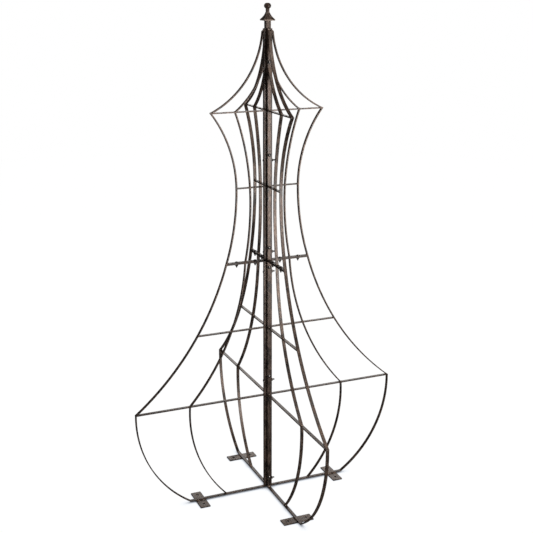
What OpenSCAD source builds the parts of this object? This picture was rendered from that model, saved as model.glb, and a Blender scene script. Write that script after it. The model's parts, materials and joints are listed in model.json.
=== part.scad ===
// Garden obelisk: a four-winged climbing-plant frame in two bolted tiers, topped by a finial.
// The origin is on the ground under the post, +Z is up, and the wings lie along X and Y.
// A wing is drawn once, in the plane of the radius r (along +X) and the height z.

/* [Wing outline: heights] */
// Height of the wide bar, where the wings reach furthest out
wide_z = 406; // [390:1:420]
// Height of the low bar
low_z = 687; // [660:1:710]
// Height of the plane where the upper tier stands on the lower tier
joint_z = 955; // [940:1:970]
// Height of the neck bar
neck_z = 1240; // [1225:1:1260]
// Height of the crown bar
crown_z = 1520; // [1500:1:1540]
// Height of the top ends of the four post bars
post_top_z = 1812; // [1808:1:1820]

/* [Wing outline: reach from the axis] */
// Radius of the bend at the foot
foot_r = 329; // [320:1:340]
// Radius of the wide corner
wide_r = 536; // [520:1:550]
// Radius of the outer strip at the joint
joint_r = 167; // [160:1:175]
// Smallest radius of the outer strip, at the neck
neck_r = 124; // [118:1:130]
// Radius of the crown corner
crown_r = 220; // [210:1:230]
// Radius where the inner strip lands on the bottom bar
inner_foot_r = 177; // [170:1:185]
// Radius of the inner strip at the wide bar
inner_wide_r = 322; // [312:1:332]
// Radius of the inner strip at the joint
inner_joint_r = 91; // [87:1:95]
// Smallest radius of the inner strip
inner_neck_r = 69; // [66:1:74]
// Radius of the inner strip at the crown bar
inner_crown_r = 127; // [122:1:132]

/* [Bend radii] */
// Belly of the outer strip, below the wide bar
belly_radius = 458; // [450:1:470]
// Flare of the outer strip, from the wide bar up to the joint
flare_radius = 1090; // [1060:5:1120]
// Sweep of the outer strip, from the crown corner to the post top
crown_radius = 343; // [338:1:350]
// Belly of the inner strip
inner_belly_radius = 520; // [500:5:540]
// Flare of the inner strip
inner_flare_radius = 900; // [880:5:940]
// Sweep of the inner strip, from the crown bar to the post
inner_crown_radius = 317; // [312:1:322]

/* [Stock] */
// Width of the flat bar
flat_w = 12; // [10:0.5:14]
// Thickness of the flat bar
flat_t = 4.5; // [3:0.25:5]
// Width of the post bars, across their wing
post_bar_w = 12; // [9:0.5:12]
// Depth of the post bars, along their wing
post_bar_d = 10; // [8:0.5:11]
// Side of the square tube inside the post
core = 12; // [12:0.1:12.5]
// Wall of the square tube
core_wall = 1.5; // [1:0.25:2]

/* [Foot plates] */
// Length of a foot plate across its wing
plate_l = 122; // [110:1:130]
// Width of a foot plate along its wing
plate_w = 40; // [36:1:44]
// Thickness of a foot plate
plate_t = 5; // [3:0.5:6]
// Distance of a foot plate's middle from the axis
plate_r = 287; // [280:1:295]
// Diameter of the ground anchor holes
plate_hole_d = 10; // [8:0.5:12]
// Distance between the two holes of a foot plate
plate_hole_span = 76; // [70:1:84]

/* [Fasteners] */
// Bolt shank diameter
bolt_d = 6; // [5:0.5:6.5]
// Diameter of a domed bolt head
head_d = 13; // [11:0.5:13.5]
// Height of a domed bolt head
head_h = 3.5; // [3:0.25:4]
// Width of a nut across its flats
nut_af = 10; // [9:0.5:10]
// Height of a nut
nut_h = 5; // [4:0.5:6]
// Shank length of the bolts through the post
post_bolt_l = 45; // [40:1:50]
// Shank length of the bolts through the joint bars
joint_bolt_l = 20; // [16:1:24]

/* [Finial] */
// Side of the square socket
socket_w = 19; // [17:0.5:21]
// Height of the square socket
socket_h = 27; // [24:1:30]
// Side of the cap's square eaves
cap_w = 42; // [38:1:44]
// Thickness of the eaves
eaves_h = 4.5; // [2.5:0.5:5]
// Height of the curved roof above the eaves
roof_h = 26; // [22:1:28]
// Radius of the roof's hollow curve
roof_radius = 55; // [40:1:80]
// Side of the square stem under the ball
stem_w = 11; // [9:0.5:12]
// Height of the stem
stem_h = 11; // [9:0.5:14]
// Diameter of the ball
ball_d = 25.5; // [23:0.5:28]
// Height of the flattened ball
ball_h = 20.5; // [18:0.5:22]

/* [Hidden] */
$fn = 240;
small_fn = 64;
// Clearance of a hole round a bolt shank, on the diameter
hole_play = 0.6;
// Clearance of a nut's bore round a bolt shank, on the diameter
thread_play = 0.2;
// Clearance of the finial's socket round the square tube, all round
socket_play = 0.3;
// Extra that a cutting shape reaches past what it cuts
over = 5;
// How far a bolt's shank runs up into its head
head_overlap = 0.5;
// How far the outside of a sharp bend bulges past the flat bar's face
knuckle_bulge = 0.5;
knuckle_r = flat_t/2 + knuckle_bulge;
post_r = core/2 + post_bar_d;
// The joint bars stop this far from the tube and from each other
joint_bar_gap = 0.3;
joint_bar_r = max(flat_w, core)/2 + joint_bar_gap;
bar_z = plate_t + flat_t/2;
// How far below the neck bar each strip comes closest to the post
neck_drop = 5;
inner_neck_drop = 55;
foot = [foot_r, bar_z];
wide = [wide_r, wide_z];
joint = [joint_r, joint_z];
neck = [neck_r, neck_z - neck_drop];
crown = [crown_r, crown_z];
inner_foot = [inner_foot_r, bar_z];
inner_wide = [inner_wide_r, wide_z];
inner_joint = [inner_joint_r, joint_z];
inner_neck = [inner_neck_r, neck_z - inner_neck_drop];
inner_crown = [inner_crown_r, crown_z];
// The outer strip ends in a small hook that curls in to the post, starting this far below its top
hook_radius = 4;
hook_drop = 12;
hook_start = [post_r + hook_radius, post_top_z - hook_drop];
// Height of the centre of the inner strip's top sweep above the crown bar
inner_sweep_rise = 252;
// The inner strip runs out along the post's face
inner_top_r = post_r + flat_t/2;
inner_top = [inner_top_r, inner_crown_z(inner_top_r)];
// Heights of the bolts from side to side; those from front to back are a step above
lower_bolt_z = [38, 465, 909];
upper_bolt_z = [987, 1337, 1672];
lower_bolt_step = [12, 22, 21];
upper_bolt_step = [20, 22, 22];
// Distances of the two joint bolts of a wing from the axis
joint_bolt_r = [51, 126];
// Thickness of the socket's closed top, and the gap that the tube leaves under it
socket_roof = 5;
spigot_gap = 1;
core_top_z = post_top_z + socket_h - socket_roof - spigot_gap;
// Gap between the two lengths of square tube
core_gap = 1;
socket_top_z = post_top_z + socket_h;
roof_z = socket_top_z + eaves_h;
stem_z = roof_z + roof_h;
// How far the ball's socket comes down over the stem
ball_seat = 1;
ball_z = stem_z + stem_h - ball_seat;

dark_bronze = [0.20, 0.17, 0.15];
rubbed_bronze = [0.30, 0.25, 0.21];
post_bronze = [0.25, 0.21, 0.18];
black_steel = [0.10, 0.10, 0.10];

WINGS = ["right", "back", "left", "front"];
LOWER = ["foot_plate", "lower_post_bar", "lower_outer_strip", "lower_inner_strip",
         "wide_bar", "low_bar", "lower_joint_bar"];
UPPER = ["upper_post_bar", "upper_outer_strip", "upper_inner_strip",
         "neck_bar", "crown_bar", "upper_joint_bar"];
CENTRE = ["lower_core_tube", "upper_core_tube", "finial_cap", "finial_ball",
          "post_bolts", "post_nuts", "joint_bolts", "joint_nuts"];

// ---- Geometry of an arc given by its lower end, its upper end and its radius ----

// Centre of the arc: side is 1 for a centre outside the strip, -1 for one inside
function arc_centre(p, q, radius, side) =
    (p + q)/2 + side*sqrt(radius*radius - pow(norm(q - p)/2, 2))*[q.y - p.y, p.x - q.x]/norm(q - p);

// Direction of a point seen from a centre, in degrees
function bearing(c, p) = atan2(p.y - c.y, p.x - c.x);

// Angle brought between -180 and 180 degrees
function wrap(a) = a > 180 ? a - 360 : (a < -180 ? a + 360 : a);

// Radius of an arc that leaves the neck upright and passes the point p
function upright_radius(n, p) =
    (pow(p.x - n.x, 2) + pow(p.y - n.y, 2))/(2*(p.x - n.x));

// Radius at the height z of an arc whose centre lies outside or inside the strip
function arc_r(p, q, radius, side, z) =
    arc_centre(p, q, radius, side).x
    - side*sqrt(radius*radius - pow(z - arc_centre(p, q, radius, side).y, 2));

// Centre of the inner strip's top sweep
function inner_sweep_centre() =
    [inner_crown_r + sqrt(pow(inner_crown_radius, 2) - pow(inner_sweep_rise, 2)),
     crown_z + inner_sweep_rise];

// Height where the inner strip's top sweep reaches the radius r
function inner_crown_z(r) =
    inner_sweep_centre().y - sqrt(pow(inner_crown_radius, 2) - pow(inner_sweep_centre().x - r, 2));

// ---- Flat bar, as outlines in the plane of a wing ----

// Turns an outline drawn in r and z into flat bar that stands across the wing's plane
module across_wing() {
    rotate([90, 0, 0])
        linear_extrude(height = flat_w, center = true)
            children();
}

// Bar bent to the arc from p up to q.
// low_over and high_over lengthen it past its ends, in millimetres.
module arc_outline(p, q, radius, side, low_over = 0, high_over = 0) {
    c = arc_centre(p, q, radius, side);
    sweep = wrap(bearing(c, q) - bearing(c, p));
    turn = sign(sweep);
    start = bearing(c, p) - turn*low_over/radius*180/PI;
    end = bearing(c, q) + turn*high_over/radius*180/PI;
    reach = radius*2;
    translate(c)
        intersection() {
            difference() {
                circle(r = radius + flat_t/2);
                circle(r = radius - flat_t/2);
            }
            polygon([[0, 0], reach*[cos(start), sin(start)], reach*[cos(end), sin(end)]]);
        }
}

// Rounded outside of a sharp bend at the point p
module knuckle_outline(p) {
    translate(p)
        circle(r = knuckle_r, $fn = small_fn);
}

// Level bar from the radius r0 to r1, with its underside at z
module level_outline(r0, r1, z) {
    translate([r0, z])
        square([r1 - r0, flat_t]);
}

// Everything of a wing between two heights, for trimming a strip
module height_band(z0, z1) {
    translate([0, z0])
        square([wide_r + over*2, z1 - z0]);
}

module bottom_bar_outline() {
    level_outline(post_r, foot_r, plate_t);
}

module lower_outer_outline() {
    intersection() {
        union() {
            bottom_bar_outline();
            arc_outline(foot, wide, belly_radius, -1);
            arc_outline(wide, joint, flare_radius, 1, 0, over);
            knuckle_outline(foot);
            knuckle_outline(wide);
        }
        height_band(0, joint_z);
    }
}

module lower_inner_outline() {
    difference() {
        union() {
            arc_outline(inner_foot, inner_wide, inner_belly_radius, -1);
            arc_outline(inner_wide, inner_joint, inner_flare_radius, 1, 0, over);
            knuckle_outline(inner_wide);
        }
        bottom_bar_outline();
        height_band(joint_z, joint_z + over*2);
    }
}

module upper_outer_outline() {
    intersection() {
        union() {
            arc_outline(joint, neck, upright_radius(neck, joint), 1, over, 0);
            arc_outline(neck, crown, upright_radius(neck, crown), 1);
            arc_outline(crown, hook_start, crown_radius, 1);
            arc_outline(hook_start, [post_r, hook_start.y + hook_radius], hook_radius, -1);
            knuckle_outline(crown);
        }
        height_band(joint_z, post_top_z);
    }
}

module upper_inner_outline() {
    intersection() {
        union() {
            arc_outline(inner_joint, inner_neck, upright_radius(inner_neck, inner_joint), 1, over, 0);
            arc_outline(inner_neck, inner_crown, upright_radius(inner_neck, inner_crown), 1);
            arc_outline(inner_crown, inner_top, inner_crown_radius, 1);
            knuckle_outline(inner_crown);
        }
        height_band(joint_z, post_top_z);
    }
}

// ---- Sub-parts of the lower tier of one wing ----

module foot_plate() {
    color(rubbed_bronze)
        difference() {
            translate([plate_r - plate_w/2, -plate_l/2, 0])
                cube([plate_w, plate_l, plate_t]);
            for (s = [-1, 1])
                translate([plate_r, s*plate_hole_span/2, -over])
                    cylinder(d = plate_hole_d, h = plate_t + over*2, $fn = small_fn);
        }
}

// Post bar between two heights, with a hole for each of its bolts
module post_bar_with_holes(z0, z1, levels) {
    color(post_bronze)
        difference() {
            translate([core/2, -post_bar_w/2, z0])
                cube([post_bar_d, post_bar_w, z1 - z0]);
            for (z = levels)
                translate([0, 0, z])
                    rotate([0, 90, 0])
                        cylinder(d = bolt_d + hole_play, h = post_r + over, $fn = small_fn);
        }
}

module lower_post_bar(levels) {
    post_bar_with_holes(plate_t, joint_z - flat_t, levels);
}

module lower_outer_strip() {
    color(dark_bronze)
        across_wing()
            lower_outer_outline();
}

module lower_inner_strip() {
    color(dark_bronze)
        across_wing()
            lower_inner_outline();
}

// Level bar in the lower tier from the post to the outer strip, parted by the strips
module lower_level_bar(z, reach) {
    color(rubbed_bronze)
        across_wing()
            difference() {
                level_outline(post_r, reach, z - flat_t/2);
                lower_outer_outline();
                lower_inner_outline();
            }
}

module wide_bar() {
    lower_level_bar(wide_z, wide_r - knuckle_r/2);
}

module low_bar() {
    lower_level_bar(low_z, arc_r(wide, joint, flare_radius, 1, low_z));
}

// Holes for the vertical bolts that hold the two tiers together
module joint_holes() {
    for (r = joint_bolt_r)
        translate([r, 0, joint_z - flat_t - over])
            cylinder(d = bolt_d + hole_play, h = flat_t*2 + over*2, $fn = small_fn);
}

module lower_joint_bar() {
    color(rubbed_bronze)
        difference() {
            across_wing()
                difference() {
                    level_outline(joint_bar_r, joint_r, joint_z - flat_t);
                    lower_outer_outline();
                    lower_inner_outline();
                }
            joint_holes();
        }
}

// ---- Sub-parts of the upper tier of one wing ----

module upper_post_bar(levels) {
    post_bar_with_holes(joint_z + flat_t, post_top_z, levels);
}

module upper_outer_strip() {
    color(dark_bronze)
        across_wing()
            upper_outer_outline();
}

module upper_inner_strip() {
    color(dark_bronze)
        across_wing()
            upper_inner_outline();
}

// Level bar in the upper tier from the post to the outer strip, parted by the strips
module upper_level_bar(z, reach) {
    color(rubbed_bronze)
        across_wing()
            difference() {
                level_outline(post_r, reach, z - flat_t/2);
                upper_outer_outline();
                upper_inner_outline();
            }
}

module neck_bar() {
    upper_level_bar(neck_z, neck_r);
}

module crown_bar() {
    upper_level_bar(crown_z, crown_r - knuckle_r/2);
}

module upper_joint_bar() {
    color(rubbed_bronze)
        difference() {
            across_wing()
                difference() {
                    level_outline(joint_bar_r, joint_r, joint_z);
                    upper_outer_outline();
                    upper_inner_outline();
                }
            joint_holes();
        }
}

// ---- Post core and finial ----

// Length of square tube with holes for the bolts from side to side and from front to back
module core_tube(z0, z1, levels, steps) {
    color(black_steel)
        difference() {
            translate([-core/2, -core/2, z0])
                cube([core, core, z1 - z0]);
            translate([core_wall - core/2, core_wall - core/2, z0 - over])
                cube([core - core_wall*2, core - core_wall*2, z1 - z0 + over*2]);
            for (i = [0:len(levels) - 1]) {
                translate([0, 0, levels[i]])
                    rotate([0, 90, 0])
                        cylinder(d = bolt_d + hole_play, h = core + over, center = true, $fn = small_fn);
                translate([0, 0, levels[i] + steps[i]])
                    rotate([90, 0, 0])
                        cylinder(d = bolt_d + hole_play, h = core + over, center = true, $fn = small_fn);
            }
        }
}

module lower_core_tube() {
    core_tube(plate_t, joint_z - core_gap/2, lower_bolt_z, lower_bolt_step);
}

module upper_core_tube() {
    core_tube(joint_z + core_gap/2, core_top_z, upper_bolt_z, upper_bolt_step);
}

// Side view of the cap: eaves, a concave roof and the stem, as a flat outline
module cap_outline() {
    roof_centre = arc_centre([cap_w/2, eaves_h], [stem_w/2, eaves_h + roof_h], roof_radius, 1);
    difference() {
        translate([-cap_w/2, 0])
            square([cap_w, eaves_h + roof_h]);
        for (s = [-1, 1])
            intersection() {
                translate([s*roof_centre.x, roof_centre.y])
                    circle(r = roof_radius);
                translate([s*(cap_w + stem_w)/2 - cap_w/2, eaves_h])
                    square([cap_w, roof_h + over]);
            }
    }
    translate([-stem_w/2, eaves_h + roof_h - over])
        square([stem_w, over + stem_h]);
}

module finial_cap() {
    color(rubbed_bronze) {
        translate([0, 0, socket_top_z])
            intersection() {
                rotate([90, 0, 0])
                    linear_extrude(height = cap_w, center = true)
                        cap_outline();
                rotate([90, 0, 90])
                    linear_extrude(height = cap_w, center = true)
                        cap_outline();
            }
        difference() {
            translate([-socket_w/2, -socket_w/2, post_top_z])
                cube([socket_w, socket_w, socket_h]);
            translate([-core/2 - socket_play, -core/2 - socket_play, post_top_z - over])
                cube([core + socket_play*2, core + socket_play*2, socket_h - socket_roof + over]);
        }
    }
}

module finial_ball() {
    color(rubbed_bronze)
        translate([0, 0, ball_z + ball_h/2])
            difference() {
                union() {
                    rotate_extrude()
                        intersection() {
                            translate([(ball_d - ball_h)/2, 0])
                                circle(d = ball_h);
                            translate([0, -ball_h])
                                square([ball_d, ball_h*2]);
                        }
                    cylinder(d = ball_d - ball_h, h = ball_h, center = true);
                }
                translate([-stem_w/2, -stem_w/2, -ball_h])
                    cube([stem_w, stem_w, ball_h/2 + ball_seat]);
            }
}

// ---- Fasteners ----

// Bolt with a domed head: the shank runs down from z = 0 and the head stands on it
module bolt(length) {
    dome_radius = (pow(head_d/2, 2) + head_h*head_h)/(2*head_h);
    color(black_steel) {
        intersection() {
            translate([0, 0, head_h - dome_radius])
                sphere(r = dome_radius, $fn = small_fn);
            cylinder(d = head_d, h = head_h, $fn = small_fn);
        }
        translate([0, 0, -length])
            cylinder(d = bolt_d, h = length + head_overlap, $fn = small_fn);
    }
}

// Hexagon nut whose top face is at z = 0
module nut() {
    color(black_steel)
        translate([0, 0, -nut_h])
            difference() {
                cylinder(d = nut_af/cos(30), h = nut_h, $fn = 6);
                translate([0, 0, -over])
                    cylinder(d = bolt_d + thread_play, h = nut_h + over*2, $fn = small_fn);
            }
}

// Places its children at every post bolt, with the outer face of the post at the child's z = 0.
// end is 1 for the head's side (left and front) and -1 for the nut's side (right and back).
module at_post_bolts(end) {
    levels = concat(lower_bolt_z, upper_bolt_z);
    steps = concat(lower_bolt_step, upper_bolt_step);
    for (i = [0:len(levels) - 1]) {
        translate([0, 0, levels[i]])
            rotate([0, -90, 0])
                translate([0, 0, end*post_r])
                    children();
        translate([0, 0, levels[i] + steps[i]])
            rotate([90, 0, 0])
                translate([0, 0, end*post_r])
                    children();
    }
}

module at_joint_bolts(z) {
    for (turn = [0:90:270])
        rotate([0, 0, turn])
            for (r = joint_bolt_r)
                translate([r, 0, z])
                    children();
}

module post_bolts() {
    at_post_bolts(1) bolt(post_bolt_l);
}

module post_nuts() {
    at_post_bolts(-1) nut();
}

module joint_bolts() {
    at_joint_bolts(joint_z + flat_t) bolt(joint_bolt_l);
}

module joint_nuts() {
    at_joint_bolts(joint_z - flat_t) nut();
}

// ---- Assembly ----

for (i = [0:3])
    rotate([0, 0, 90*i]) {
        wing = WINGS[i];
        // The wings along X carry the bolts from side to side, those along Y the others
        step = i%2;
        lower_levels = lower_bolt_z + step*lower_bolt_step;
        upper_levels = upper_bolt_z + step*upper_bolt_step;
        foot_plate();
        lower_post_bar(lower_levels);
        lower_outer_strip();
        lower_inner_strip();
        wide_bar();
        low_bar();
        lower_joint_bar();
        upper_post_bar(upper_levels);
        upper_outer_strip();
        upper_inner_strip();
        neck_bar();
        crown_bar();
        upper_joint_bar();
    }
lower_core_tube();
upper_core_tube();
finial_cap();
finial_ball();
post_bolts();
post_nuts();
joint_bolts();
joint_nuts();
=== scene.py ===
"""The garden obelisk's looks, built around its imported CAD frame. Lengths are in metres."""

import json
import math
import random

import bmesh
import bpy
from mathutils import Matrix, Vector, noise


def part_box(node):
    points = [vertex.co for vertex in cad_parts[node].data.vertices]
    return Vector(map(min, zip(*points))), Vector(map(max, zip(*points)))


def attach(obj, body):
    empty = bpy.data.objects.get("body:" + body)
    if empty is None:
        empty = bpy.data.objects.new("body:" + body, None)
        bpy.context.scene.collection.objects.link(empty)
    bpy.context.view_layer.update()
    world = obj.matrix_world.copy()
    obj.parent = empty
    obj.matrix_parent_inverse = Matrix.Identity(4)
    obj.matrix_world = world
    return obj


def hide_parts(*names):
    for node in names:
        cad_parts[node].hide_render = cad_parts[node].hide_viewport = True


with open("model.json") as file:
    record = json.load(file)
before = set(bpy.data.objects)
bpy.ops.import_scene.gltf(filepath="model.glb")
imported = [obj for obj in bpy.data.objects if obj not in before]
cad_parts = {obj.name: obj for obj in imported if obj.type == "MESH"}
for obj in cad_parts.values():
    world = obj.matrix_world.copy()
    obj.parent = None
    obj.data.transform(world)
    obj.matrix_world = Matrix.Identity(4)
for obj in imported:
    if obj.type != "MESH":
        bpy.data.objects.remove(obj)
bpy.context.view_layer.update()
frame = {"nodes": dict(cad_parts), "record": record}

nodes = frame["nodes"]
MM = 0.001
WINGS = ("right", "back", "left", "front")
SLOT_OF_NODE = {part["node"]: part["material_slot"] for part in frame["record"]["subparts"]}


# ---- Camera, from the photographer's place ----

CAMERA_AZIMUTH = math.radians(-22.9)
CAMERA_PITCH = math.radians(15.99)
CAMERA_DISTANCE = 3.703
CAMERA_HEIGHT = 1.990
CAMERA_LENS = 68.4
CAMERA_SHIFT = -0.002


def make_camera():
    camera = bpy.data.objects.new("camera", bpy.data.cameras.new("camera"))
    bpy.context.scene.collection.objects.link(camera)
    camera.location = (
        CAMERA_DISTANCE * math.sin(CAMERA_AZIMUTH),
        -CAMERA_DISTANCE * math.cos(CAMERA_AZIMUTH),
        CAMERA_HEIGHT,
    )
    camera.rotation_euler = (math.pi / 2 - CAMERA_PITCH, 0, CAMERA_AZIMUTH)
    camera.data.lens = CAMERA_LENS
    camera.data.shift_x = CAMERA_SHIFT
    bpy.context.scene.camera = camera


# ---- Studio ----


def area_light(name, place, target, size, watts, colour=(1, 1, 1), mirrored=True):
    """A soft rectangular lamp that hangs at place and faces target."""
    lamp = bpy.data.lights.new(name, "AREA")
    lamp.shape = "RECTANGLE"
    lamp.size, lamp.size_y = size
    lamp.energy = watts
    lamp.color = colour
    holder = bpy.data.objects.new(name, lamp)
    bpy.context.scene.collection.objects.link(holder)
    holder.location = place
    holder.rotation_euler = (Vector(target) - Vector(place)).to_track_quat("-Z", "Y").to_euler()
    holder.visible_camera = False
    holder.visible_glossy = mirrored


WALL_WHITE = 1.0
ROOM_LIGHT = 0.07
ROOM_TINT = (0.95, 0.97, 1, 1)
FLOOR_RADIUS = 8.0
FLOOR_SIDES = 96
FLOOR_PAINT = 0.02
CONTACT_REACH = 0.035
CONTACT_TINT = (0.74, 0.84, 1.0)
CONTACT_RANGE = (0.15, 0.8)
CONTACT_DARK = 0.04


def make_world():
    """White behind the object, and a much darker room for what the metal reflects."""
    world = bpy.data.worlds.new("studio")
    bpy.context.scene.world = world
    world.use_nodes = True
    graph = world.node_tree
    graph.nodes.clear()
    wall, room = graph.nodes.new("ShaderNodeBackground"), graph.nodes.new("ShaderNodeBackground")
    wall.inputs["Strength"].default_value = WALL_WHITE
    wall.inputs["Color"].default_value = (1, 1, 1, 1)
    room.inputs["Strength"].default_value = ROOM_LIGHT
    room.inputs["Color"].default_value = ROOM_TINT
    path, mix = graph.nodes.new("ShaderNodeLightPath"), graph.nodes.new("ShaderNodeMixShader")
    out = graph.nodes.new("ShaderNodeOutputWorld")
    graph.links.new(path.outputs["Is Camera Ray"], mix.inputs[0])
    graph.links.new(room.outputs[0], mix.inputs[1])
    graph.links.new(wall.outputs[0], mix.inputs[2])
    graph.links.new(mix.outputs[0], out.inputs[0])


def floor_material():
    """Glowing white, like a light table, with a faint cool shade where the metal stands close."""
    graph = Graph("floor_white")
    open_air = graph.add("ShaderNodeAmbientOcclusion", {"Distance": CONTACT_REACH}).outputs["AO"]
    colour = graph.mix(open_air, CONTACT_TINT, (WALL_WHITE,) * 3)
    shade = graph.between(open_air, *CONTACT_RANGE, CONTACT_DARK, WALL_WHITE)
    glow = graph.add("ShaderNodeEmission", {"Color": colour, "Strength": shade}).outputs[0]
    matt = graph.add("ShaderNodeBsdfDiffuse", {"Color": (*(FLOOR_PAINT,) * 3, 1)}).outputs[0]
    graph.surface(graph.add("ShaderNodeAddShader", {0: matt, 1: glow}).outputs[0])
    return graph.material


def make_floor():
    bm = bmesh.new()
    bmesh.ops.create_circle(bm, cap_ends=True, radius=FLOOR_RADIUS, segments=FLOOR_SIDES)
    floor = mesh_object("floor", bm)
    floor.data.materials.append(floor_material())
    floor.visible_glossy = False


def make_lights():
    """Each lamp with its place, target, size, watts and, if it isn't white, its colour."""
    area_light("front_right_softbox", (1.30, -3.0, 0.72), (0, 0, 1.1), (1.3, 1.15), 70, (1, 0.975, 0.95))
    area_light("overhead_softbox", (0.4, 0.2, 3.6), (0, 0, 0), (3.6, 3.6), 120, mirrored=False)
    area_light("back_right_softbox", (1.7, 3.6, 1.5), (0, 0, 0.7), (2.4, 1.9), 34, (1, 0.98, 0.96))
    area_light("left_card", (-3.2, -0.6, 1.3), (0, 0, 1.0), (0.8, 1.6), 5)
    area_light("upper_front_card", (0.94, -1.56, 2.65), (0, -0.2, 0.75), (0.9, 0.9), 14, (1, 0.93, 0.86))


# ---- Meshes ----

SAME_POINT = 0.01 * MM


def mesh_object(name, bm):
    mesh = bpy.data.meshes.new(name)
    bm.normal_update()
    bm.to_mesh(mesh)
    bm.free()
    made = bpy.data.objects.new(name, mesh)
    bpy.context.scene.collection.objects.link(made)
    return made


def piece(name, bm, material, stands_for=()):
    """A finished piece of the obelisk, fixed to its frame."""
    bmesh.ops.recalc_face_normals(bm, faces=bm.faces)
    made = mesh_object(name, bm)
    for polygon in made.data.polygons:
        polygon.use_smooth = True
    made.data.materials.append(material)
    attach(made, "root")
    if stands_for:
        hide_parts(*stands_for)


def loft(bm, rings):
    """Skins rings of points, each as long as the first, into a tube closed at both ends."""
    made = [[bm.verts.new(point) for point in ring] for ring in rings]
    sides = len(made[0])
    for low, high in zip(made, made[1:]):
        for i in range(sides):
            j = (i + 1) % sides
            bm.faces.new((low[i], low[j], high[j], high[i]))
    bm.faces.new(list(reversed(made[0])))
    bm.faces.new(made[-1])


def centre_of(points):
    return sum(points, Vector()) / len(points)


def corners(points):
    """The lowest and the highest corner of the points' box."""
    low = Vector([min(p[i] for p in points) for i in range(3)])
    high = Vector([max(p[i] for p in points) for i in range(3)])
    return low, high


def solids(node):
    """The corner points of each separate solid of a CAD node."""
    bm = bmesh.new()
    bm.from_mesh(nodes[node].data)
    bmesh.ops.remove_doubles(bm, verts=bm.verts, dist=SAME_POINT)
    left, found = set(bm.verts), []
    while left:
        front, solid = [left.pop()], []
        while front:
            vert = front.pop()
            solid.append(vert.co.copy())
            for edge in vert.link_edges:
                other = edge.other_vert(vert)
                if other in left:
                    left.remove(other)
                    front.append(other)
        found.append(solid)
    bm.free()
    return sorted(found, key=lambda points: tuple(centre_of(points)))


# ---- Shader graphs ----

GRAIN_ROUGHNESS = 0.6


class Graph:
    """A material whose nodes are added and linked in one call each."""

    def __init__(self, name):
        self.material = bpy.data.materials.new(name)
        self.material.use_nodes = True
        self.tree = self.material.node_tree
        self.tree.nodes.clear()

    def add(self, kind, inputs=None, **settings):
        made = self.tree.nodes.new(kind)
        for key, value in settings.items():
            setattr(made, key, value)
        for key, value in (inputs or {}).items():
            if isinstance(value, bpy.types.NodeSocket):
                self.tree.links.new(value, made.inputs[key])
            else:
                made.inputs[key].default_value = value
        return made

    def surface(self, shader):
        self.add("ShaderNodeOutputMaterial", {"Surface": shader})

    def grain(self, size, detail=3.0, stretch=(1, 1, 1), shift=0.0):
        """Noise whose blotches are about size metres across, from 0 to 1."""
        place = self.add("ShaderNodeTexCoord").outputs["Object"]
        moved = self.add(
            "ShaderNodeMapping",
            {"Vector": place, "Location": (shift, shift, shift), "Scale": stretch},
        ).outputs[0]
        return self.add(
            "ShaderNodeTexNoise",
            {"Vector": moved, "Scale": 1 / size, "Detail": detail, "Roughness": GRAIN_ROUGHNESS},
        ).outputs[0]

    def between(self, value, low, high, to_low=0.0, to_high=1.0):
        return self.add(
            "ShaderNodeMapRange",
            {"Value": value, "From Min": low, "From Max": high, "To Min": to_low, "To Max": to_high},
        ).outputs["Result"]

    def math(self, operation, a, b):
        return self.add("ShaderNodeMath", {0: a, 1: b}, operation=operation).outputs[0]

    def blend(self, a, b, share):
        """The sum of two values, share of b and the rest of a."""
        rest = self.math("MULTIPLY", a, 1 - share)
        return self.math("ADD", rest, self.math("MULTIPLY", b, share))

    def mix(self, share, a, b):
        """A colour between a and b, with share of b."""
        made = self.add("ShaderNodeMix", data_type="RGBA")
        for key, value in (("Factor", share), ("A", a), ("B", b)):
            socket = next(s for s in made.inputs if s.name == key and s.enabled)
            if isinstance(value, bpy.types.NodeSocket):
                self.tree.links.new(value, socket)
            elif key == "Factor":
                socket.default_value = value
            else:
                socket.default_value = (*value, 1)
        return next(s for s in made.outputs if s.enabled)


# ---- Finishes, and a darker coat that is painted shade ----

RUST = (0.20, 0.075, 0.025)
BLACK_BROWN = (0.010, 0.0075, 0.0065)
BROWN = (0.050, 0.029, 0.020)
BRONZE = (0.122, 0.088, 0.068)
PALE_BRONZE = (0.26, 0.20, 0.16)
OXIDE = (0.12, 0.112, 0.108)
OXIDE_WORN = (0.45, 0.42, 0.39)

PATCH_SIZE = 60 * MM
STAIN_SIZE = 22 * MM
MOTTLE_SIZE = 16 * MM
SCUFF_SIZE = 5 * MM
SPECK_SIZE = 0.9 * MM

MOTTLE_IN_BLOTCH = 0.55
BROWN_RANGE = (0.40, 0.58)
SCUFF_IN_RUB = 0.6
RUB_FROM = 0.72
RUB_FALL = 0.34
RUB_BAND = (-0.09, 0.11)
RUST_FROM = 0.74
RUST_FALL = 0.36
RUST_BAND = 0.06
RUST_COVER = 0.85
RUST_ROUGHNESS = 0.25
SPECK_RANGE = (0.62, 0.75)
SPECK_COVER = 0.35

GLOSS_RANGE = (0.3, 0.7)
SCUFF_IN_RELIEF = 0.4
DENT_DEPTH = 0.7 * MM
DENT_STRENGTH = 0.5
PEEL_DEPTH = 0.12 * MM
PEEL_STRENGTH = 0.35


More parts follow.
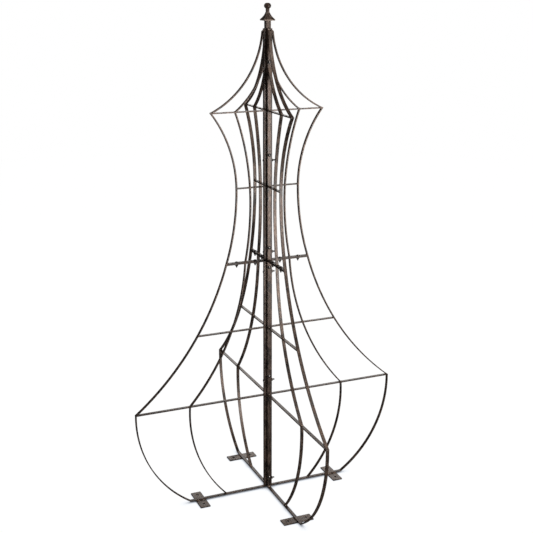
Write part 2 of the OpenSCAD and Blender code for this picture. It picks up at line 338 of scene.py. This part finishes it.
def coat(name, colours, rubbed, rust=0.0, metallic=0.45, rough=(0.27, 0.45)):
    """A dark coat, blotched with brown, rubbed through to bronze and stained with rust.

    colours are its dark, brown and bronze. rubbed and rust, from 0 to 1, say how much bronze and
    rust show. rough is the lowest and the highest roughness before the rust's own is added.
    """
    dark, brown, bronze = colours
    graph = Graph(name)
    patches = graph.grain(PATCH_SIZE)
    mottle = graph.grain(MOTTLE_SIZE, detail=4, stretch=(1, 1, 0.45), shift=3.0)
    scuffs = graph.grain(SCUFF_SIZE, detail=5, stretch=(1, 1, 0.35), shift=7.0)
    stain = graph.grain(STAIN_SIZE, detail=5, stretch=(1, 1, 0.6), shift=11.0)
    speck = graph.grain(SPECK_SIZE, detail=2)

    blotch = graph.blend(patches, mottle, MOTTLE_IN_BLOTCH)
    base = graph.mix(graph.between(blotch, *BROWN_RANGE), dark, brown)
    rub_level = RUB_FROM - RUB_FALL * rubbed
    rub_noise = graph.blend(mottle, scuffs, SCUFF_IN_RUB)
    rub = graph.between(rub_noise, rub_level + RUB_BAND[0], rub_level + RUB_BAND[1])
    base = graph.mix(rub, base, bronze)
    rust_level = RUST_FROM - RUST_FALL * rust
    rusty = graph.between(stain, rust_level, rust_level + RUST_BAND, 0, RUST_COVER if rust else 0)
    base = graph.mix(rusty, base, RUST)
    base = graph.mix(graph.between(speck, *SPECK_RANGE, 0, SPECK_COVER), base, bronze)

    gloss = graph.between(mottle, *GLOSS_RANGE, *rough)
    gloss = graph.math("ADD", gloss, graph.math("MULTIPLY", rusty, RUST_ROUGHNESS))
    relief = graph.blend(mottle, scuffs, SCUFF_IN_RELIEF)
    dents = graph.add(
        "ShaderNodeBump",
        {"Height": relief, "Strength": DENT_STRENGTH, "Distance": DENT_DEPTH},
    ).outputs[0]
    peel = graph.add(
        "ShaderNodeBump",
        {"Height": speck, "Strength": PEEL_STRENGTH, "Distance": PEEL_DEPTH, "Normal": dents},
    ).outputs[0]
    shader = graph.add(
        "ShaderNodeBsdfPrincipled",
        {"Base Color": base, "Roughness": gloss, "Metallic": metallic, "Normal": peel},
    )
    graph.surface(shader.outputs[0])
    return graph.material


BRONZE_COLOURS = (BLACK_BROWN, BROWN, BRONZE)
DARK_COLOURS = (BLACK_BROWN, BLACK_BROWN, BROWN)
PALE_COLOURS = (BLACK_BROWN, BROWN, PALE_BRONZE)
OXIDE_COLOURS = (OXIDE, OXIDE, OXIDE_WORN)
WELD_COLOURS = (BROWN, BRONZE, PALE_BRONZE)

FINISHES = {
    "strip_bronze": coat("strip_bronze", BRONZE_COLOURS, rubbed=0.45, rust=0.04),
    "bar_bronze": coat("bar_bronze", BRONZE_COLOURS, rubbed=0.45, rust=0.04),
    "post_bronze": coat("post_bronze", BRONZE_COLOURS, rubbed=0.46, rust=0.08),
    "plate_bronze": coat("plate_bronze", BRONZE_COLOURS, rubbed=0.62, rust=0.08),
    "finial_bronze": coat("finial_bronze", BRONZE_COLOURS, rubbed=0.42, rust=0.12),
    "core_steel": coat("core_steel", DARK_COLOURS, rubbed=0.3),
    "bolt_black": coat("bolt_black", OXIDE_COLOURS, rubbed=0.35, metallic=0.95, rough=(0.16, 0.28)),
}
# Painted shade: a darker, duller coat for the joint bars, the neck bars and the upper left and right
# post bars. It stands in for the shade and the dim reflections these bars have under the lamps, not for
# a darker paint.
PAINTED_SHADE_COAT = coat("painted_shade_coat", DARK_COLOURS, rubbed=0.6, rust=0.05, rough=(0.34, 0.5))
PAINTED_SHADE_ENDINGS = ("joint_bar", "neck_bar", "left_upper_post_bar", "right_upper_post_bar")
THIN_EDGE = coat("thin_edge", BRONZE_COLOURS, rubbed=0.6, rust=0.10, rough=(0.30, 0.45))
THIN_SLOTS = ("strip_bronze", "bar_bronze", "plate_bronze")
WORN_EDGE = coat("worn_edge", PALE_COLOURS, rubbed=0.75, rust=0.15, metallic=0.5, rough=(0.28, 0.42))
WELD_METAL = coat("weld_metal", WELD_COLOURS, rubbed=0.95, rust=0.45, metallic=0.5, rough=(0.25, 0.45))


# ---- CAD nodes: softened edges, worn along them ----

EDGE_ROUND = {
    "strip_bronze": 0.35 * MM,
    "bar_bronze": 0.35 * MM,
    "post_bronze": 0.8 * MM,
    "plate_bronze": 0.5 * MM,
    "finial_bronze": 0.8 * MM,
    "core_steel": 0.5 * MM,
    "bolt_black": 0.4 * MM,
}
EDGE_STEPS = 2
EDGE_MATERIAL = 1
FLAT_ANGLE = math.radians(0.4)
SHARP_ANGLE = math.radians(35)


def dress(node):
    """Gives a CAD node its finish, or for the joint, neck and upper side post bars a darker coat of
    painted shade, rounds its sharp edges and wears them.
    """
    shown = nodes[node]
    slot = SLOT_OF_NODE[node]
    shown.data.materials.clear()
    # The joint, neck and upper left and right post bars get the darker coat of painted shade instead of
    # their finish.
    shown.data.materials.append(PAINTED_SHADE_COAT if node.endswith(PAINTED_SHADE_ENDINGS) else FINISHES[slot])
    shown.data.materials.append(THIN_EDGE if slot in THIN_SLOTS else WORN_EDGE)
    weld = shown.modifiers.new("weld", "WELD")
    weld.merge_threshold = SAME_POINT
    flatten = shown.modifiers.new("flatten", "DECIMATE")
    flatten.decimate_type = "DISSOLVE"
    flatten.angle_limit = FLAT_ANGLE
    bevel = shown.modifiers.new("edges", "BEVEL")
    bevel.width = EDGE_ROUND[slot]
    bevel.segments = EDGE_STEPS
    bevel.limit_method = "ANGLE"
    bevel.angle_limit = SHARP_ANGLE
    bevel.use_clamp_overlap = True
    bevel.material = EDGE_MATERIAL
    normals = shown.modifiers.new("normals", "WEIGHTED_NORMAL")
    normals.keep_sharp = False


# ---- Weld beads ----

POST_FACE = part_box("right_lower_post_bar")[1].x
PLATE_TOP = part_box("right_foot_plate")[1].z
BAR_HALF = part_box("right_wide_bar")[1].y
BAR_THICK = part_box("right_wide_bar")[1].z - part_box("right_wide_bar")[0].z

WELD_RADIUS = 2.2 * MM
BEAD_RIPPLE = 2.1 * MM
BEAD_STEP = 0.55 * MM
BEAD_SIDES = 8
BEAD_MIN_STEPS = 6
BEAD_TAPER = 3.2
BEAD_TIP = 0.08
RIPPLE_DEPTH = 0.16
SWELL = 0.18
SWELL_SCALE = 400
LUMP = 0.12
LUMP_SCALE = 900

ON_FACE = 0.05 * MM
END_INSET = 1.2 * MM
END_SIZES = (0.85, 1.2)
END_WIDTHS = (0.8, 1)
POST_END_SIZE = 1.25
LANDING_WIDTH = 0.85
LANDING_SIZES = (0.8, 1.1)
SEAM_SHARES = (0.22, 0.78)
SEAM_HALF = 6 * MM
SEAM_LENGTHS = (0.85, 1.2)
SEAM_SIZES = (0.7, 0.95)
POST_SEAM_WIDTH = 0.8
POST_SEAM_SIZE = 1.4
POST_TOUCH = 0.4 * MM
TOP_REACH = 0.3 * MM
TOP_DROP = 1 * MM
TOP_WIDTH = 0.7
TOP_SIZE = 1.1

rng = random.Random(7)


def bead(bm, start, end, radius):
    """A lumpy weld bead from start to end: overlapping ripples that taper out at both ends."""
    start, end = Vector(start), Vector(end)
    along = (end - start).normalized()
    side = along.orthogonal().normalized()
    up = along.cross(side)
    length = (end - start).length
    steps = max(BEAD_MIN_STEPS, round(length / BEAD_STEP))
    rings = []
    for k in range(steps + 1):
        share = k / steps
        here = start.lerp(end, share)
        taper = (1 - abs(2 * share - 1) ** BEAD_TAPER) ** 0.5
        crest = abs(math.sin(math.pi * share * length / BEAD_RIPPLE))
        ripple = 1 - RIPPLE_DEPTH + RIPPLE_DEPTH * crest
        swell = 1 + SWELL * noise.noise(here * SWELL_SCALE)
        size = radius * max(taper, BEAD_TIP) * ripple * swell
        ring = []
        for i in range(BEAD_SIDES):
            turn = 2 * math.pi * i / BEAD_SIDES
            spot = here + size * (math.cos(turn) * side + math.sin(turn) * up)
            ring.append(spot + LUMP * radius * noise.noise_vector(spot * LUMP_SCALE))
        rings.append(ring)
    loft(bm, rings)


def cross_bead(bm, reach, level, widths, radius):
    """A bead across a bar that lies along +X, widths[0] to its right and widths[1] to its left."""
    bead(bm, (reach, -widths[0], level), (reach, widths[1], level), radius)


def wing_turn(wing):
    """The turn that takes the +X wing to this one."""
    return Matrix.Rotation(math.radians(90 * WINGS.index(wing)), 4, "Z")


def wing_points(wing, node):
    """A wing node's solids, turned so that the wing lies along +X."""
    back = wing_turn(wing).inverted()
    return [[back @ point for point in solid] for solid in solids(f"{wing}_{node}")]


def reach_at(points, level, outermost):
    """The radius of a bar's end on its upper or lower face."""
    near = [p.x for p in points if abs(p.z - level) < ON_FACE]
    return max(near) if outermost else min(near)


def bar_end_welds(bm, wing, node, top=True, bottom=True, skip_post=False):
    """Beads across a level bar's ends, over and under it. skip_post leaves out those at the post."""
    half = BAR_HALF - END_INSET
    for solid in wing_points(wing, node):
        low, high = min(p.z for p in solid), max(p.z for p in solid)
        for outermost in (False, True):
            for level, wanted in ((high, top), (low, bottom)):
                reach = reach_at(solid, level, outermost)
                if not wanted or (skip_post and reach < POST_FACE):
                    continue
                growth = POST_END_SIZE if reach < POST_FACE + MM else 1
                radius = WELD_RADIUS * rng.uniform(*END_SIZES) * growth
                widths = [half * rng.uniform(*END_WIDTHS) for _ in range(2)]
                cross_bead(bm, reach, level, widths, radius)


def foot_welds(bm, wing):
    """The inner strip's landing, and the bottom bar's seams on the foot plate and post."""
    inner = wing_points(wing, "lower_inner_strip")[0]
    landing = min(p.z for p in inner)
    for outermost in (False, True):
        reach = reach_at(inner, landing, outermost)
        radius = WELD_RADIUS * rng.uniform(*LANDING_SIZES)
        cross_bead(bm, reach, landing, (BAR_HALF * LANDING_WIDTH,) * 2, radius)
    plate = wing_points(wing, "foot_plate")[0]
    near, far = min(p.x for p in plate), max(p.x for p in plate)
    for side in (-BAR_HALF, BAR_HALF):
        for share in SEAM_SHARES:
            middle = near + (far - near) * share
            half = SEAM_HALF * rng.uniform(*SEAM_LENGTHS)
            radius = WELD_RADIUS * rng.uniform(*SEAM_SIZES)
            bead(bm, (middle - half, side, PLATE_TOP), (middle + half, side, PLATE_TOP), radius)
    widths = (BAR_HALF * POST_SEAM_WIDTH,) * 2
    cross_bead(bm, POST_FACE, PLATE_TOP + BAR_THICK, widths, WELD_RADIUS * POST_SEAM_SIZE)


def top_welds(bm, wing):
    """Where the hooked end and the inner strip meet the post."""
    for node in ("upper_outer_strip", "upper_inner_strip"):
        level = max(p.z for p in wing_points(wing, node)[0] if p.x < POST_FACE + POST_TOUCH)
        widths = (BAR_HALF * TOP_WIDTH,) * 2
        cross_bead(bm, POST_FACE + TOP_REACH, level - TOP_DROP, widths, WELD_RADIUS * TOP_SIZE)


def make_welds():
    for wing in WINGS:
        lower = bmesh.new()
        foot_welds(lower, wing)
        bar_end_welds(lower, wing, "wide_bar")
        bar_end_welds(lower, wing, "low_bar")
        bar_end_welds(lower, wing, "lower_joint_bar", top=False, skip_post=True)
        upper = bmesh.new()
        bar_end_welds(upper, wing, "upper_joint_bar", bottom=False, skip_post=True)
        bar_end_welds(upper, wing, "neck_bar")
        bar_end_welds(upper, wing, "crown_bar")
        top_welds(upper, wing)
        for tier, bm in (("lower", lower), ("upper", upper)):
            bm.transform(wing_turn(wing))
            piece(f"{wing}_{tier}_welds", bm, WELD_METAL)


# ---- Fasteners ----

ROUND_SIDES = 32
HEAD_HEIGHT = 3.5 * MM
HEAD_RIM = 0.7 * MM
RIM_TOP = 0.8 * HEAD_RIM
RIM_CHAMFER = (0.3 * MM, 0.25 * MM)
DOME_STEPS = 8
DOME_START = 0.985
DOME_TIP = 0.15 * MM

SHANK_RADIUS = 3.0 * MM
THREAD_PITCH = 1.0 * MM
THREAD_DEPTH = 0.55 * MM
THREAD_STEPS = 6
THREAD_SIDES = 20
LONG_BOLT = 20 * MM
LONG_THREAD = 17 * MM
LONG_THREAD_BARE = 16 * MM
SHORT_THREAD_TOP = 5.5 * MM
SHORT_SHANK = 6 * MM
SHANK_SUNK = 0.2 * MM

NUT_SIDES = 48
NUT_RING = 0.96
NUT_CHAMFER = math.radians(30)


def lathe(bm, profile, place, sides=ROUND_SIDES):
    """Spins a profile of (radius, height) about place's Z axis."""
    rings = []
    for radius, height in profile:
        rings.append([
            place @ Vector((
                radius * math.cos(2 * math.pi * i / sides),
                radius * math.sin(2 * math.pi * i / sides),
                height,
            ))
            for i in range(sides)
        ])
    loft(bm, rings)


def dome_head(bm, place, radius):
    """A low domed head with a chamfered foot, standing on z = 0."""
    rise = HEAD_HEIGHT - HEAD_RIM
    ball = (radius**2 + rise**2) / (2 * rise)
    profile = [(radius - RIM_CHAMFER[0], 0), (radius, RIM_CHAMFER[1]), (radius, RIM_TOP)]
    for k in range(DOME_STEPS):
        angle = math.asin(radius / ball) * (1 - k / DOME_STEPS) * DOME_START
        profile.append((ball * math.sin(angle), HEAD_HEIGHT - ball * (1 - math.cos(angle))))
    profile.append((DOME_TIP, HEAD_HEIGHT))
    lathe(bm, profile, place)


def threaded_end(bm, place, start, end):
    """Screw thread from z = start down to z = end, with a chamfered tip."""
    rings = []
    count = round((start - end) / THREAD_PITCH * THREAD_STEPS)
    for k in range(count + 1):
        z = start - k * THREAD_PITCH / THREAD_STEPS
        ring = []
        for i in range(THREAD_SIDES):
            phase = (k / THREAD_STEPS - i / THREAD_SIDES) % 1
            size = SHANK_RADIUS - THREAD_DEPTH * abs(2 * phase - 1)
            size = min(size, SHANK_RADIUS - THREAD_PITCH + (z - end))
            turn = 2 * math.pi * i / THREAD_SIDES
            ring.append(place @ Vector((size * math.cos(turn), size * math.sin(turn), z)))
        rings.append(ring)
    loft(bm, rings)


def shank(bm, place, length):
    """What hangs under a head: a plain shank that ends inside the thread, which ends at -length."""
    if length > LONG_BOLT:
        thread_top, plain_end = -length + LONG_THREAD, -length + LONG_THREAD_BARE
    else:
        thread_top, plain_end = -SHORT_THREAD_TOP, -SHORT_SHANK
    radius = SHANK_RADIUS - THREAD_DEPTH / 2
    lathe(bm, [(radius, SHANK_SUNK), (radius, plain_end)], place, THREAD_SIDES)
    threaded_end(bm, place, thread_top, -length)


def hex_nut(bm, place, flats, height):
    """A hexagon nut with chamfered corners, its top at z = 0."""
    face = flats / 2
    ring_radius = face * NUT_RING
    rings = [[], [], [], []]
    for i in range(NUT_SIDES):
        turn = 2 * math.pi * i / NUT_SIDES
        from_flat = (turn + math.pi / 6) % (math.pi / 3) - math.pi / 6
        reach = face / math.cos(from_flat)
        drop = (reach - ring_radius) * math.tan(NUT_CHAMFER)
        spots = ((ring_radius, 0), (reach, -drop), (reach, drop - height), (ring_radius, -height))
        for ring, (radius, z) in zip(rings, spots):
            ring.append(place @ Vector((radius * math.cos(turn), radius * math.sin(turn), z)))
    loft(bm, rings)


def facing(spot, axis, sign):
    """A place at spot with its Z along an axis, turned about it by a chance angle."""
    away = Vector((0, 0, 0))
    away[axis] = sign
    turn = away.to_track_quat("Z", "X").to_matrix().to_4x4()
    return Matrix.Translation(spot) @ turn @ Matrix.Rotation(rng.uniform(0, 1), 4, "Z")


def make_bolts():
    """Domed, threaded bolts in place of the plain CAD ones. Upright ones have their heads on top."""
    bm = bmesh.new()
    for node in ("post_bolts", "joint_bolts"):
        for solid in solids(node):
            low, high = corners(solid)
            spans = high - low
            axis = max(range(3), key=lambda i: spans[i])
            sign, head_end = (1, high[axis]) if axis == 2 else (-1, low[axis])
            spot = (low + high) / 2
            spot[axis] = head_end - sign * HEAD_HEIGHT
            place = facing(spot, axis, sign)
            across = min(spans[i] for i in range(3) if i != axis)
            dome_head(bm, place, across / 2)
            shank(bm, place, spans[axis] - HEAD_HEIGHT)
    piece("bolts", bm, FINISHES["bolt_black"], ("post_bolts", "joint_bolts"))


def make_nuts():
    """Chamfered hexagon nuts in place of the plain CAD ones."""
    bm = bmesh.new()
    for node in ("post_nuts", "joint_nuts"):
        for solid in solids(node):
            low, high = corners(solid)
            spans = high - low
            axis = min(range(3), key=lambda i: spans[i])
            spot = (low + high) / 2
            spot[axis] = high[axis]
            flats = min(spans[i] for i in range(3) if i != axis)
            hex_nut(bm, facing(spot, axis, 1), flats, spans[axis])
    piece("nuts", bm, FINISHES["bolt_black"], ("post_nuts", "joint_nuts"))


# ---- Assembly ----

make_camera()
make_world()
make_lights()
make_floor()
bpy.context.scene.view_settings.view_transform = "Standard"
make_welds()
make_bolts()
make_nuts()
for name in nodes:
    if not nodes[name].hide_render:
        dress(name)
